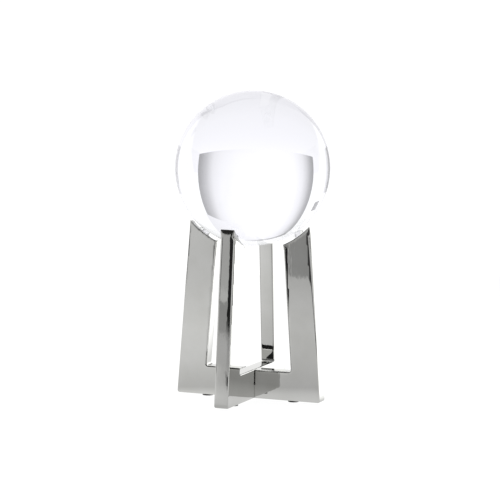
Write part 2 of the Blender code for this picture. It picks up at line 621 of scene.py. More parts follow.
@dataclass
class CrossPlate:
    """One U-shaped plate: a bar on the floor, two leaning legs, hollows for the ball."""

    node: str
    name: str
    run: Run
    slot: Slot
    rim_left: float                    # rounding of the long edges near the tip of each leg,
    rim_right: float                   # which differs from leg to leg
    leg_width: float = 19 * MM
    bar_height: float = 19 * MM
    leg_lean: float = math.radians(4.3)
    cradle_radius: float = 57 * MM
    cradle_rise: float = 4.2 * MM
    outer_corner: float = 1.6 * MM
    inner_corner: float = 1.4 * MM
    tip_corner: float = 0.38 * MM
    slot_corner: float = 0.5 * MM
    slot_gap: float = 0.2 * MM
    rim_low: float = 0.75 * MM         # rounding of the long edges near the floor
    rim_slot: float = 0.55 * MM        # at the slot, which is filed after polishing
    rim_hollow: float = 0.14 * MM      # at the hollows, which the buff hardly reaches
    rim_fade: float = 4 * MM           # over which the rounding grows away from a hollow
    face_roll: float = 0.028 * MM      # how far buffing takes the faces down at their edges
    face_roll_reach: float = 1.9 * MM
    edge_roll: float = 0.03 * MM       # the same on the narrow edge faces
    tip_roll: float = 0.11 * MM        # and at the outer tip of each leg
    tip_roll_reach: float = 1.9 * MM
    spacing: float = 1.1 * MM          # of the mesh
    arc_step: float = math.radians(12)
    hollow_steps: int = 26
    wall_rows: tuple[float, ...] = (-1.0, -0.85, -0.6, -0.2, 0.2, 0.6, 0.85, 1.0)  # of half the thickness
    rim_rows: tuple[float, ...] = (0.25, 0.45, 0.65, 0.82, 1.0)                    # of the rounding's turn

    def __post_init__(self) -> None:
        """Read what the frame already holds."""
        low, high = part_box(self.node)
        ball_low, ball_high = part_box("crystal_ball")
        sizes = high - low
        self.base = low.z
        self.half_thickness = min(sizes.x, sizes.y) / 2
        self.half_width = (ball_high.x - ball_low.x) / 2
        self.cradle_height = (ball_low.z + ball_high.z) / 2 + self.cradle_rise
        self.bar_top = self.base + self.bar_height
        self.lap = self.base + self.bar_height / 2

    def outer_edge(self, z: float) -> float:
        """Distance of a leg's outer edge from the axis at height z."""
        return self.half_width - (z - self.base) * math.tan(self.leg_lean)

    def inner_edge(self, z: float) -> float:
        """Distance of a leg's inner edge from the axis at height z."""
        return self.outer_edge(z) - self.leg_width / math.cos(self.leg_lean)

    def cradle(self, angle: float) -> Vector:
        """Point of the hollow at an angle from straight down."""
        reach = Vector((math.sin(angle), -math.cos(angle))) * self.cradle_radius
        return Vector((0, self.cradle_height)) + reach

    def cradle_angle(self, edge: Callable[[float], float]) -> float:
        """Angle where the hollow meets a leg's edge.

        Args:
            edge: The edge, as its distance from the axis at a height.

        Returns:
            The angle from straight down.
        """
        low, high = 0.0, math.pi / 2
        for _ in range(BISECTION_STEPS):
            middle = (low + high) / 2
            point = self.cradle(middle)
            low, high = (middle, high) if point.x < edge(point.y) else (low, middle)
        return low

    def corners(self) -> Outline:
        """Corners of the outline with their rounding, counter-clockwise from the right foot.

        Returns:
            The corners, each a point and its radius.
        """
        outer, inner = self.cradle_angle(self.outer_edge), self.cradle_angle(self.inner_edge)
        steps = self.hollow_steps
        right: Outline = [(Vector((self.half_width, self.base)), self.outer_corner)]
        right.append((self.cradle(outer), self.tip_corner))
        # the hollow's first and last stretch leave room for the rounded tips
        for step in range(3, steps - 1):
            right.append((self.cradle(outer + (inner - outer) * step / steps), 0.0))
        right.append((self.cradle(inner), self.tip_corner))
        right.append((Vector((self.inner_edge(self.bar_top), self.bar_top)), self.inner_corner))
        left = [(Vector((-point.x, point.y)), radius) for point, radius in reversed(right)]
        side = self.half_thickness + self.slot_gap
        mouth, inside = self.slot_corner, self.slot_corner / 2
        if self.slot is Slot.ABOVE:
            floor = self.lap - self.slot_gap / 2
            notch = [(side, self.bar_top, mouth), (side, floor, inside)]
            notch += [(-side, floor, inside), (-side, self.bar_top, mouth)]
            return right + [(Vector((x, z)), radius) for x, z, radius in notch] + left
        roof = self.lap + self.slot_gap / 2
        notch = [(-side, self.base, mouth), (-side, roof, inside)]
        notch += [(side, roof, inside), (side, self.base, mouth)]
        return right + left + [(Vector((x, z)), radius) for x, z, radius in notch]

    def outline(self) -> list[Vector]:
        """The outline as closely spaced points, with rounded corners and rolled tips.

        Returns:
            The points, counter-clockwise.
        """
        rounded: list[Vector] = []
        corners = self.corners()
        for index, (point, radius) in enumerate(corners):
            if radius == 0:
                rounded.append(point)
                continue
            before = (corners[index - 1][0] - point).normalized()
            after = (corners[(index + 1) % len(corners)][0] - point).normalized()
            half = before.angle(after) / 2
            centre = point + (before + after).normalized() * radius / math.sin(half)
            start = point + before * radius / math.tan(half) - centre
            sweep = start.angle_signed(point + after * radius / math.tan(half) - centre)
            steps = max(4, math.ceil(abs(sweep) / self.arc_step))
            for step in range(steps + 1):
                rounded.append(centre + Matrix.Rotation(-sweep * step / steps, 2) @ start)
        dense: list[Vector] = []
        for here, there in zip(rounded, rounded[1:] + rounded[:1]):
            pieces = max(1, round((there - here).length / self.spacing))
            dense.extend(here.lerp(there, step / pieces) for step in range(pieces))
        return [self.roll_tip(point) for point in dense]

    def roll_tip(self, point: Vector) -> Vector:
        """Take the outer edge in a little near the tip of the leg, as buffing does.

        Args:
            point: A point of the outline.

        Returns:
            The point, moved inwards.
        """
        tip = self.cradle(self.cradle_angle(self.outer_edge)).y
        off_tip = max(0.0, tip - point.y) + max(0.0, self.outer_edge(point.y) - abs(point.x))
        taken = self.tip_roll * math.exp(-off_tip / self.tip_roll_reach)
        return Vector((point.x - math.copysign(taken, point.x), point.y))

    def rim_radius(self, points: np.ndarray) -> np.ndarray:
        """Rounding of the rim beside each point of the plate, in metres.

        Args:
            points: The points, one in a row.

        Returns:
            One radius for each point, least at the hollows and set apart at the slot.
        """
        height = (points[:, 1] - self.base) / (self.cradle(self.cradle_angle(self.outer_edge)).y - self.base)
        high = np.where(points[:, 0] < 0, self.rim_left, self.rim_right)
        rim = self.rim_low + (high - self.rim_low) * np.clip(height, 0, 1) ** 1.5
        off_hollow = np.hypot(points[:, 0], points[:, 1] - self.cradle_height) - self.cradle_radius
        rim = self.rim_hollow + (rim - self.rim_hollow) * np.clip(off_hollow / self.rim_fade, 0, 1)
        off_slot = np.abs(points[:, 0]) - self.half_thickness - self.slot_gap
        return np.where(off_slot < self.rim_low, self.rim_slot, rim)

    def face_depth(self, distance: np.ndarray, rim: np.ndarray) -> np.ndarray:
        """Distance of a face from the plate's middle plane.

        Args:
            distance: Distance from the outline.
            rim: Rounding of the rim there.

        Returns:
            The depths, rounded at the rim and rolled off a little beside it.
        """
        left = np.clip(1 - distance / rim, 0, 1)
        rounded = self.half_thickness - rim * (1 - np.sqrt(1 - left ** 2))
        return rounded - self.face_roll * np.exp(-distance / self.face_roll_reach)

    def build(self, cutter: Optional[bpy.types.Object], finish: bpy.types.Material) -> bpy.types.Object:
        """Build the plate's mesh.

        Args:
            cutter: The solid of the screw hole, in world space.
            finish: The plate's material.

        Returns:
            The finished piece.
        """
        ring = np.array([tuple(point) for point in self.outline()])
        ahead, behind = np.roll(ring, -1, 0) - ring, ring - np.roll(ring, 1, 0)
        ahead /= np.linalg.norm(ahead, axis=1, keepdims=True)
        behind /= np.linalg.norm(behind, axis=1, keepdims=True)
        along = ahead + behind
        along /= np.linalg.norm(along, axis=1, keepdims=True)
        inward = np.stack([-along[:, 1], along[:, 0]], axis=1)
        rim = self.rim_radius(ring)
        wall = self.face_depth(np.zeros(len(ring)), rim)

        bm = bmesh.new()
        rings = []
        for share in self.wall_rows:
            places = ring + inward * self.edge_roll * abs(share) ** 4
            rings.append([bm.verts.new((x, depth * share, z)) for (x, z), depth in zip(places, wall)])
        for near, far in zip(rings, rings[1:]):
            for index in range(len(ring)):
                after = (index + 1) % len(ring)
                bm.faces.new((near[index], far[index], far[after], near[after]))
        edge = ring + inward * self.edge_roll
        self.close_face(bm, rings[0], edge, inward, -1)
        self.close_face(bm, rings[-1], edge, inward, 1)
        bmesh.ops.recalc_face_normals(bm, faces=bm.faces)
        bm.transform(Matrix.Rotation(math.radians(self.run.value), 4, "Z"))
        mesh = bpy.data.meshes.new(self.name)
        bm.to_mesh(mesh)
        bm.free()
        mesh.materials.append(finish)
        piece = new_object(self.name, mesh)
        if cutter:
            hole = piece.modifiers.new("screw_hole", "BOOLEAN")
            hole.operation = "DIFFERENCE"
            hole.solver = "EXACT"
            hole.object = cutter
            settle(piece)
        smooth(piece.data)
        return install(piece, "stand", [self.node])

    def close_face(
        self, bm: bmesh.types.BMesh, edge_verts: list[bmesh.types.BMVert], edge: np.ndarray,
        inward: np.ndarray, side: int,
    ) -> None:
        """Fill a face with a net that follows its rounded rim.

        Args:
            bm: The mesh being built.
            edge_verts: The ring of vertices that the face joins.
            edge: The same ring as flat points.
            inward: Direction into the face at each point of the ring.
            side: -1 for the front face, 1 for the back.
        """
        rim = self.rim_radius(edge)
        rows = []
        for turn in self.rim_rows:
            inset = rim * (1 - math.cos(turn * math.pi / 2))
            places = edge + inward * inset[:, None]
            # near a tight corner a row would cross itself: its points there come too close to the edge
            rows.append(places[self.distance_inside(places, edge) > inset * 0.97])
        low, high = edge.min(0), edge.max(0)
        axes = [np.arange(start, stop, self.spacing) for start, stop in zip(low, high)]
        grid = np.stack(np.meshgrid(*axes), -1).reshape(-1, 2)
        clear = self.rim_radius(grid) + self.spacing * 0.5
        rows.append(grid[self.distance_inside(grid, edge) > clear])
        inner = np.concatenate(rows)
        depth = self.face_depth(self.distance_inside(inner, edge), self.rim_radius(inner))
        points = [Vector(point) for point in np.concatenate([edge, inner])]
        found = delaunay_2d_cdt(points, [], [list(range(len(edge)))], 1, 1e-7)
        verts: dict[int, bmesh.types.BMVert] = {}
        for index, origins in enumerate(found[3]):
            if not origins:
                raise ValueError("the net of a plate face has a point of its own")
            origin = min(origins)
            if origin < len(edge):
                verts[index] = edge_verts[origin]
            else:
                x, z = inner[origin - len(edge)]
                verts[index] = bm.verts.new((x, side * depth[origin - len(edge)], z))
        for face in found[2]:
            bm.faces.new([verts[index] for index in face])

    @staticmethod
    def distance_inside(points: np.ndarray, ring: np.ndarray) -> np.ndarray:
        """Distance of points from a closed ring, negative outside it.

        Args:
            points: The points, one in a row.
            ring: The ring's corners, one in a row.

        Returns:
            One distance for each point.
        """
        starts, ends = ring, np.roll(ring, -1, 0)
        run = ends - starts
        offset = points[:, None, :] - starts[None]
        share = np.clip((offset * run).sum(-1) / (run * run).sum(-1), 0, 1)
        nearest = np.linalg.norm(offset - share[..., None] * run, axis=-1).min(1)
        y, y0, y1 = points[:, None, 1], starts[None, :, 1], ends[None, :, 1]
        crosses = (y0 > y) != (y1 > y)
        with np.errstate(divide="ignore", invalid="ignore"):
            x = starts[None, :, 0] + (y - y0) / (y1 - y0) * run[None, :, 0]
        inside = (crosses & (points[:, None, 0] < x)).sum(1) % 2 == 1
        return np.where(inside, nearest, -nearest)


@dataclass
class CentreScrew:
    """The countersunk screw that closes the halving joint from below."""

    finish: TurnedSteel = field(default_factory=TurnedSteel)
    node: str = "centre_screw"
    radius: float = 1.5 * MM
    pitch: float = 0.5 * MM
    thread_depth: float = 0.25 * MM
    socket_radius: float = 1.15 * MM
    socket_depth: float = 1.0 * MM
    head_edge: float = 0.12 * MM
    clearance: float = 0.12 * MM
    rows_per_turn: int = 6
    neck_fade: float = 8.0             # the thread starts over an eighth of its length
    tip_fade: float = 20.0             # and ends over a twentieth
    tip_share: float = 0.97            # past which the tip is turned down
    sides: int = 36

    def __post_init__(self) -> None:
        """Read the screw's length and head from the frame."""
        low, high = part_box(self.node)
        self.bottom, self.top = low.z, high.z
        self.head_radius = (high.x - low.x) / 2
        self.neck = self.bottom + self.head_radius - self.radius

    def hole(self) -> bpy.types.Object:
        """The solid of the hole that the screw passes through, for cutting the plates.

        Returns:
            The cutter, which starts a little below the screw's head.
        """
        overshoot = 1 * MM
        grown, below = self.radius + self.clearance, self.bottom - overshoot
        profile = [
            (0, below),
            (self.head_radius + overshoot + 2 * self.clearance, below),
            (grown, self.neck + self.clearance),
            (grown, self.top + self.clearance),
            (0, self.top + self.clearance),
        ]
        return new_object("screw_hole_cutter", turned_mesh("screw_hole_cutter", profile, self.sides))

    def build(self) -> bpy.types.Object:
        """Build head, socket and rolled thread as one closed mesh.

        Returns:
            The finished piece.
        """
        bm = bmesh.new()
        angles = [math.tau * side / self.sides for side in range(self.sides)]
        rings = [self.socket_ring(bm, angles, self.bottom + self.socket_depth)]
        rings.append(self.socket_ring(bm, angles, self.bottom))
        edge = self.head_edge
        for radius, z in ((self.head_radius - edge, self.bottom), (self.head_radius, self.bottom + edge)):
            rings.append([bm.verts.new((radius * math.cos(a), radius * math.sin(a), z)) for a in angles])
        rows = math.ceil((self.top - self.neck) / (self.pitch / self.rows_per_turn))
        for row in range(rows + 1):
            z = self.neck + (self.top - self.neck) * row / rows
            rings.append([bm.verts.new(self.thread_point(a, z, row / rows)) for a in angles])
        for lower, upper in zip(rings, rings[1:]):
            for side in range(self.sides):
                after = (side + 1) % self.sides
                bm.faces.new((lower[side], lower[after], upper[after], upper[side]))
        # a fan from the middle, because the points in line on the socket's flats would leave
        # triangles without area
        bmesh.ops.poke(bm, faces=[bm.faces.new(rings[0]), bm.faces.new(rings[-1])])
        bmesh.ops.recalc_face_normals(bm, faces=bm.faces)
        mesh = bpy.data.meshes.new("countersunk_centre_screw")
        bm.to_mesh(mesh)
        bm.free()
        smooth(mesh, 30)
        mesh.materials.append(self.finish.material())
        return install(new_object("countersunk_centre_screw", mesh), "stand", [self.node])

    def socket_ring(
        self, bm: bmesh.types.BMesh, angles: list[float], z: float
    ) -> list[bmesh.types.BMVert]:
        """A ring of the hexagonal socket.

        Args:
            bm: The mesh being built.
            angles: The angles of its vertices.
            z: Its height.

        Returns:
            The ring's vertices.
        """
        ring = []
        for angle in angles:
            off_flat = (angle + math.pi / 6) % (math.pi / 3) - math.pi / 6
            reach = self.socket_radius * math.cos(math.pi / 6) / math.cos(off_flat)
            ring.append(bm.verts.new((reach * math.cos(angle), reach * math.sin(angle), z)))
        return ring

    def thread_point(self, angle: float, z: float, share: float) -> tuple[float, float, float]:
        """A point of the thread, which runs out at the head and at the tip.

        Args:
            angle: Its angle about the axis.
            z: Its height.
            share: Its share of the way from the neck to the tip.

        Returns:
            The point, which is on a smaller circle at the very tip.
        """
        turn = (z / self.pitch - angle / math.tau) % 1
        groove = self.thread_depth * abs(2 * turn - 1)
        fade = min(1.0, share * self.neck_fade, (1 - share) * self.tip_fade)
        radius = self.radius - groove * fade
        if share > self.tip_share:
            radius -= self.thread_depth
        return radius * math.cos(angle), radius * math.sin(angle), z


@dataclass
class FootPads:
    """Four thin rubber pads under the ends of the bars."""

    finish: BlackRubber = field(default_factory=BlackRubber)
    edge_share: float = 0.3            # of the height, the rounding of its edges
    edge_steps: int = 4
    sides: int = 48
    nodes: tuple[str, ...] = ("foot_pad_right", "foot_pad_left", "foot_pad_front", "foot_pad_back")

    def build(self) -> bpy.types.Object:
        """Turn one pad with soft edges and repeat it round the axis.

        Returns:
            The finished piece.
        """
        low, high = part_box(self.nodes[0])
        radius, height = (high.x - low.x) / 2, high.z - low.z
        edge = height * self.edge_share
        profile = [(0.0, low.z)]
        for corner, start in ((low.z + edge, -math.pi / 2), (high.z - edge, 0.0)):
            for step in range(self.edge_steps + 1):
                angle = start + math.pi / 2 * step / self.edge_steps
                profile.append((radius - edge + edge * math.cos(angle), corner + edge * math.sin(angle)))
        profile.append((0.0, high.z))
        mesh = turned_mesh("foot_pad", profile, self.sides)
        mesh.transform(Matrix.Translation(((low.x + high.x) / 2, 0, 0)))
        piece = four_around("rubber_foot_pads", mesh, self.finish.material())
        return install(piece, "stand", self.nodes)


@dataclass
class BallBumpers:
    """Four clear domed bumpers in the hollows of the leg ends."""

    plate: CrossPlate
    finish: ClearSilicone = field(default_factory=ClearSilicone)
    radius: float = 3.6 * MM
    lift: float = 0.05 * MM            # off its seat, and off the ball
    foot_edge: float = 0.2 * MM
    shoulder_share: float = 0.45       # of its height, where the dome begins
    dome_steps: int = 14
    sides: int = 56
    nodes: tuple[str, ...] = (
        "ball_bumper_right", "ball_bumper_left", "ball_bumper_front", "ball_bumper_back",
    )

    def build(self) -> bpy.types.Object:
        """Turn one bumper up to the ball and repeat it round the axis.

        Returns:
            The finished piece.
        """
        plate = self.plate
        angle = (plate.cradle_angle(plate.outer_edge) + plate.cradle_angle(plate.inner_edge)) / 2
        seat = plate.cradle(angle)
        ball_low, ball_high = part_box("crystal_ball")
        ball_radius = (ball_high.z - ball_low.z) / 2
        to_ball = Vector((0, (ball_low.z + ball_high.z) / 2)) - seat
        along = to_ball.dot(Vector((-math.sin(angle), math.cos(angle))))
        aside = math.sqrt(to_ball.length_squared - along ** 2)
        top = along - math.sqrt(ball_radius ** 2 - aside ** 2) - self.lift
        shoulder = top * self.shoulder_share
        foot, edge = self.lift, self.foot_edge
        profile = [(0.0, foot), (self.radius - edge, foot), (self.radius, foot + edge)]
        for step in range(self.dome_steps):
            turn = math.pi / 2 * step / self.dome_steps
            profile.append((self.radius * math.cos(turn), shoulder + (top - shoulder) * math.sin(turn)))
        profile.append((0.0, top))
        mesh = turned_mesh("ball_bumper", profile, self.sides)
        mesh.transform(Matrix.Translation((seat.x, 0, seat.y)) @ Matrix.Rotation(-angle, 4, "Y"))
        piece = four_around("clear_ball_bumpers", mesh, self.finish.material())
        return install(piece, "stand", self.nodes)


# ------------------------------------------------------------------ the studio


def level(value: float) -> Curve:
    """A curve that has one value all along a card's side."""
    return (0.0, value), (1.0, value)


@dataclass(frozen=True)
class Glow:
    """Radiance of a card: the product of two curves of (share of the side, radiance) points."""

    across: Curve = level(1.0)
    up: Curve = level(1.0)


@dataclass(frozen=True)
class Card:
    """A panel that the camera does not see itself.

    It stands in the studio's own axes: across to the right of the view, away
    from the viewer, and up. One glow is met through the crystal, the other in
    the metal.
    """

    name: str
    corner: Sequence[float]
    first: Sequence[float]
    second: Sequence[float]
    crystal: Glow = Glow()
    metal: Glow = Glow()
    soft_gobo: bool = False            # fades out at its edges and isn't met through the crystal


@dataclass
class Studio:
    """A bright room on a pale table, and the camera in front of it.

    Crystal and metal meet different glows, which are set for the camera's side.
    """

    azimuth: float = math.radians(22.2)
    elevation: float = math.radians(7.25)
    roll: float = math.radians(0.55)
    distance: float = 2.0
    aim_height: float = 96.9 * MM
    aim_across: float = -1.2 * MM
    lens: float = 223.2
    clip: tuple[float, float] = (0.01, 50.0)
    wall_left: float = -0.45
    wall_right: float = 0.35
    wall_away: float = 0.6
    wall_height: float = 0.85
    fill_foot: float = 0.45            # the pale part of the wall that only the ball sees begins here
    flap_distance: float = 1.15
    table_reach: float = 5.0
    floor_drop: float = 0.02 * MM      # below the pads, so that no two faces coincide
    paper_tone: float = 0.13           # of the table to the camera: what the light adds to its own glow
    paper_glow: float = 0.97
    room_in_metal: tuple[float, float] = (0.03, 2.1)   # in front and behind
    room_in_crystal: float = 1.12
    room_seen: float = 1.05
    crystal_tint: str = "#FCFBFF"

    def axes(self) -> Matrix:
        """Rotation that takes the studio's axes (across, away, up) to the world."""
        return Matrix.Rotation(self.azimuth, 4, "Z")

    def cards_behind(self) -> list[Card]:
        """The wall, the brighter upper part that the ball sees, and the wall's top rail.

        Returns:
            The three cards.
        """
        left, away, high = self.wall_left, self.wall_away, self.wall_height
        wall_in_crystal = Glow(
            across=((0.0, 0.36), (0.0625, 0.46), (0.13, 0.72), (0.19, 0.92), (0.29, 1.06), (0.44, 1.12),
                    (0.656, 1.05), (0.76, 0.97), (0.82, 0.88), (0.89, 0.6), (0.9625, 0.44), (1.0, 0.4)),
            up=((0.0, 0.97), (0.2, 1.04), (0.4, 1.08), (1.0, 1.0)),
        )
        wall_in_metal = Glow(
            across=((0.0, 0.62), (0.35, 0.65), (0.48, 1.15), (0.64, 1.15), (0.77, 0.65), (1.0, 0.62)),
            up=((0.0, 1.0), (0.17, 1.0), (0.2, 0.75), (0.38, 0.8), (0.42, 3.2), (1.0, 3.2)),
        )
        rail_in_crystal = Glow(across=((0.0, 0.2), (0.35, 0.45), (0.8, 0.75), (1.0, 1.0)))
        return [
            Card("back_wall", (left, away, 0), (self.wall_right - left, 0, 0), (0, 0, high),
                 wall_in_crystal, wall_in_metal),
            Card("wall_fill", (0.06, away - 0.01, self.fill_foot), (0.3, 0, 0), (0, 0, high - self.fill_foot),
                 Glow(across=((0.0, 1.08), (1.0, 0.95))), Glow(up=level(2.1))),
            Card("wall_rail", (left + 0.03, away - 0.02, high - 0.02), (0.5, 0, 0), (0, 0, 0.1),
                 rail_in_crystal),
        ]

    def cards_beside(self) -> list[Card]:
        """The dim sides that the ball picks up near its rim.

        Returns:
            The two flags and the small latch.
        """
        left_flag = Glow(
            across=((0.0, 1.0), (0.35, 0.14), (0.75, 0.14), (1.0, 1.0)),
            up=((0.0, 1.2), (0.3, 1.0), (0.75, 1.0), (1.0, 1.2)),
        )
        right_flag = Glow(across=((0.0, 1.0), (0.3, 0.5), (0.75, 0.5), (1.0, 1.0)))
        return [
            Card("left_flag", (self.wall_left, -0.2, 0), (0, 0.48, 0), (0, 0, 0.28), left_flag),
            Card("right_flag", (-self.wall_left, -0.16, 0), (0, 0.4, 0), (0, 0, 0.3), right_flag),
            Card("side_latch", (-0.56, 0.36, 0.38), (0.05, 0.1, 0), (0, 0, 0.1), Glow(up=level(0.3))),
        ]

    def cards_in_front(self) -> list[Card]:
        """The pale flap to the front left and the two dark gobos beside the legs.

        Returns:
            The three cards.
        """
        lane = Vector((-1, -1, 0)).normalized()
        aside = Vector((1, -1, 0)).normalized()
        start = lane * self.flap_distance - aside * 0.16
        flap = Glow(
            up=((0.0, 0.68), (0.2, 0.68), (0.22, 0.47), (0.41, 0.45), (0.43, 0.78), (0.48, 0.8), (0.52, 0.66),
                (1.0, 0.64)),
        )
        black = Glow(up=level(0.02))
        return [
            Card("front_flap", start, aside * 0.22, (0, 0, 0.15), metal=flap),
            Card("front_gobo", (-0.0671, -0.0968, 0.042), (0.0046, -0.0019, 0), (0, 0, 0.058),
                 metal=black, soft_gobo=True),
            Card("near_gobo", (-0.0009, -0.0320, 0.05), (0.0052, -0.0021, 0), (0, 0, 0.05),
                 metal=black, soft_gobo=True),
        ]

    def build(self) -> None:
        """Build cards, floor, world and camera."""
        for card in self.cards_behind() + self.cards_beside() + self.cards_in_front():
            self.stand_card(card)
        self.lay_floor()
        self.light_world()
        self.place_camera()

    def stand_card(self, card: Card) -> None:
        """Make one card, hidden from the camera itself.

        Args:
            card: Where it stands and how it glows.
        """
        corner, first, second = Vector(card.corner), Vector(card.first), Vector(card.second)
        mesh = bpy.data.meshes.new(card.name)
        places = [corner, corner + first, corner + first + second, corner + second]
        mesh.from_pydata(places, [], [(0, 1, 2, 3)])
        mesh.uv_layers.new(name="share")
        for loop, share in zip(mesh.uv_layers["share"].data, ((0, 0), (1, 0), (1, 1), (0, 1))):
            loop.uv = share
        mesh.transform(self.axes())
        panel = new_object(card.name, mesh)
        panel.visible_camera = False
        panel.visible_transmission = not card.soft_gobo
        material, tree = new_material(f"{card.name}_glow")
        share = add_node(tree, "ShaderNodeUVMap", uv_map="share")
        place = add_node(tree, "ShaderNodeSeparateXYZ", (share,))
        crystal, metal = (self.over_card(tree, place, glow) for glow in (card.crystal, card.metal))
        surface = self.shine(tree, crystal, metal)
        if card.soft_gobo:
            surface = self.feather(tree, place, surface)
        add_node(tree, "ShaderNodeOutputMaterial", {"Surface": surface})
        mesh.materials.append(material)

    @staticmethod
    def over_card(tree: bpy.types.NodeTree, place: bpy.types.Node, glow: Glow) -> bpy.types.Node:
        """Multiply a glow's two curves.

        Args:
            tree: The card's tree.
            place: Node with the shares of the card's two sides.
            glow: The two curves.

        Returns:
            The node that gives the product.
        """
        sides = [read_curve(tree, place.outputs[i], curve) for i, curve in enumerate((glow.across, glow.up))]
        return add_node(tree, "ShaderNodeMath", sides, operation="MULTIPLY")

    def shine(self, tree: bpy.types.NodeTree, crystal: Value, metal: Value) -> bpy.types.Node:
        """Emit one radiance to rays that come through the crystal and one to all others.

        Args:
            tree: The material's tree.
            crystal: Radiance met through the crystal or off it.
            metal: Radiance met in any other way.

        Returns:
            The shader node.
        """
        through = self.met_in_crystal(tree)
        colours = {6: (1, 1, 1, 1), 7: (*linear(self.crystal_tint), 1)}
        tint = add_node(tree, "ShaderNodeMix", {0: through, **colours}, data_type="RGBA")
        strength = add_node(tree, "ShaderNodeMix", {0: through, 2: metal, 3: crystal}, data_type="FLOAT")
        return add_node(tree, "ShaderNodeEmission", {"Color": tint.outputs[2], "Strength": strength})

    def feather(
        self, tree: bpy.types.NodeTree, place: bpy.types.Node, surface: bpy.types.Node
    ) -> bpy.types.Node:
        """Let a card fade into nothing at its foot, and a little at its sides and top.

        Args:
            tree: The card's tree.
            place: Node with the shares of the card's two sides.
            surface: The card's own shader.

        Returns:
            The shader node, which is clear at the edges.
        """
        fade = Glow(
            across=((0.0, 0.0), (0.12, 1.0), (0.9, 1.0), (1.0, 0.0)),
            up=((0.0, 0.0), (0.3, 1.0), (0.92, 1.0), (1.0, 0.0)),
        )
        clear = add_node(tree, "ShaderNodeBsdfTransparent")
        return add_node(tree, "ShaderNodeMixShader", (self.over_card(tree, place, fade), clear, surface))

    @staticmethod
    def met_in_crystal(tree: bpy.types.NodeTree) -> bpy.types.Node:
        """1 for rays that come through the crystal or off it, 0 for those off the metal.

        The crystal is the only perfectly sharp surface, so its mirror rays are
        the singular ones, apart from the camera's own.

        Args:
            tree: The tree.

        Returns:
            The node that gives 0 or 1.
        """
        path = add_node(tree, "ShaderNodeLightPath")
        later = add_node(tree, "ShaderNodeMath", (1.0, path.outputs["Is Camera Ray"]), operation="SUBTRACT")
        mirrored = (path.outputs["Is Singular Ray"], later)
        sharp = add_node(tree, "ShaderNodeMath", mirrored, operation="MINIMUM")
        through = path.outputs["Is Transmission Ray"]
        return add_node(tree, "ShaderNodeMath", (through, sharp), operation="MAXIMUM")

    def studio_place(self, tree: bpy.types.NodeTree, source: str) -> bpy.types.Node:
        """Split a coordinate into across, away and up.

        Args:
            tree: The tree.
            source: Output of the texture coordinate node.

        Returns:
            The node with the three outputs.
        """
        place = add_node(tree, "ShaderNodeTexCoord").outputs[source]
        turned = add_node(tree, "ShaderNodeMapping", {"Vector": place, "Rotation": (0, 0, -self.azimuth)})
        return add_node(tree, "ShaderNodeSeparateXYZ", (turned,))

    def lay_floor(self) -> None:
        """A wide pale table top, with the dim patches that the polished faces pick up, among them a painted
        shadow round the stand.
        """
        mesh = bpy.data.meshes.new("pale_table")
        reach, height = self.table_reach, -self.floor_drop
        corners = [(x * reach, y * reach, height) for x, y in ((-1, -1), (1, -1), (1, 1), (-1, 1))]
        mesh.from_pydata(corners, [], [(0, 1, 2, 3)])
        floor = new_object("pale_table", mesh)
        material, tree = new_material("pale_table_paper")
        place = self.studio_place(tree, "Object")
        across, away = place.outputs["X"], place.outputs["Y"]
        crystal, metal = (part(tree, across, away) for part in (self.floor_in_crystal, self.floor_in_metal))
        lit = self.shine(tree, crystal, metal)
        paper = add_node(tree, "ShaderNodeBsdfDiffuse", {"Color": (*[self.paper_tone] * 3, 1)})
        plain = add_node(tree, "ShaderNodeEmission", {"Strength": self.paper_glow})
        seen = add_node(tree, "ShaderNodeAddShader", (plain, paper))
        camera = add_node(tree, "ShaderNodeLightPath").outputs["Is Camera Ray"]
        both = add_node(tree, "ShaderNodeMixShader", (camera, lit, seen))
        add_node(tree, "ShaderNodeOutputMaterial", {"Surface": both})
        mesh.materials.append(material)

    @staticmethod
    def floor_in_crystal(
        tree: bpy.types.NodeTree, across: bpy.types.NodeSocket, away: bpy.types.NodeSocket
    ) -> bpy.types.Node:
        """Radiance of the table through the ball.

        A wedge of it is dim on both sides of the stand, and brighter towards
        the wall: painted shade, darkest round the stand. What lies outside the
        wedge is dim only close beside the stand: a painted shadow of the stand.

        Args:
            tree: The table's tree.
            across: Place across.
            away: Place away from the viewer.

        Returns:
            The node that gives the radiance.
        """
        centre = add_node(tree, "ShaderNodeMath", (away, -0.15), operation="MULTIPLY")
        off_centre = add_node(tree, "ShaderNodeMath", (across, centre), operation="SUBTRACT")
        sideways = add_node(tree, "ShaderNodeMath", (off_centre,), operation="ABSOLUTE")
        off_stand = add_node(tree, "ShaderNodeMath", (away,), operation="ABSOLUTE")
        spread = add_node(tree, "ShaderNodeMath", (off_stand, 0.88), operation="MULTIPLY")
        half_width = add_node(tree, "ShaderNodeMath", (spread, 0.13), operation="MAXIMUM")
        past_edge = add_node(tree, "ShaderNodeMath", (sideways, half_width), operation="SUBTRACT")
        outside = add_node(tree, "ShaderNodeMapRange", (past_edge, 0.02, 0.05, 0, 1))
        # painted shadow of the stand: the table is dim close beside it
        beside = add_node(tree, "ShaderNodeMapRange", (off_stand, 0.05, 0.14, 0.55, 1.15))
        # painted shade: a dim wedge, darkest round the stand, brighter towards the wall
        wedge = read_curve(tree, away, (
            (-0.6, 0.86), (-0.3, 0.78), (-0.15, 0.58), (0.03, 0.55), (0.07, 0.68), (0.1, 0.82), (0.15, 0.9),
            (0.25, 0.97), (0.6, 1.06)))
        return add_node(tree, "ShaderNodeMix", {0: outside, 2: wedge, 3: beside}, data_type="FLOAT")

